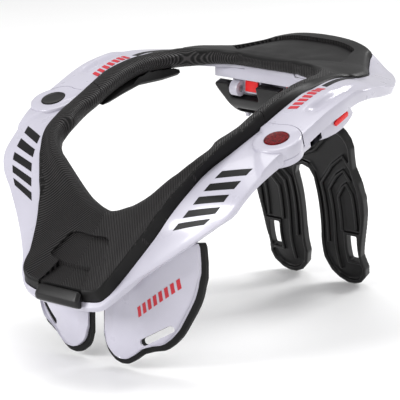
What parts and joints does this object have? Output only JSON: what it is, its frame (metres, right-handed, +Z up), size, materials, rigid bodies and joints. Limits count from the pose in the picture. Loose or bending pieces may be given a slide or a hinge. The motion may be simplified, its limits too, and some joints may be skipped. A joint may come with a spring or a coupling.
{
  "type": "motocross neck brace",
  "caption": "Rigid two-half neck collar with padded inner edge, chest plates, folding back strut with legs, shoulder hinge and push latch.",
  "frame": {"origin": "Centre of the bounding box at the ground, below the middle of the brace", "axes": "+Z up, the wearer faces -Y, +X is the wearer's left"},
  "size_m": [0.241, 0.3257, 0.1953],
  "materials": {
    "shell": "satin white moulded shell with a faint lavender tone",
    "padding": "ribbed dark moulded foam with smooth black outer edge",
    "foam": "matte black moulded foam",
    "black_plastic": "satin black moulded plastic",
    "red_plastic": "bright red moulded plastic",
    "latch_red": "dark textured glossy red with a bright rim",
    "steel": "plain steel pin"
  },
  "bodies": {
    "rear_half": {"rear_shell": "shell", "rear_pad": "padding", "shoulder_pad_left": "foam", "shoulder_pad_right": "foam", "strut_housing": "shell", "adjuster_inner_left": "red_plastic", "adjuster_inner_right": "red_plastic", "adjuster_outer_left": "red_plastic", "adjuster_outer_right": "red_plastic", "strut_pin_left": "steel", "strut_pin_right": "steel"},
    "front_half": {"front_shell": "shell", "front_pad": "padding", "front_tab": "black_plastic", "chest_plate_left": "shell", "chest_plate_right": "shell", "chest_pad_left": "foam", "chest_pad_right": "foam", "hinge_pin": "steel", "hinge_cap": "black_plastic"},
    "latch": {"latch_button": "latch_red"},
    "back_strut": {"strut": "black_plastic"}
  },
  "joints": [
    {"name": "collar_hinge", "type": "hinge", "parent": "rear_half", "child": "front_half", "pos_m": [-0.103, -0.0464, 0.164], "axis": [0, 0.309, -0.9511], "range_deg": [0, 60]},
    {"name": "latch_press", "type": "slide", "parent": "front_half", "child": "latch", "axis": [0, 0.309, -0.9511], "range_m": [0, 0.003], "stiffness_N_per_m": 400},
    {"name": "strut_fold", "type": "hinge", "parent": "rear_half", "child": "back_strut", "pos_m": [0, 0.084, 0.1605], "axis": [-1, 0, 0], "range_deg": [0, 75]}
  ]
}
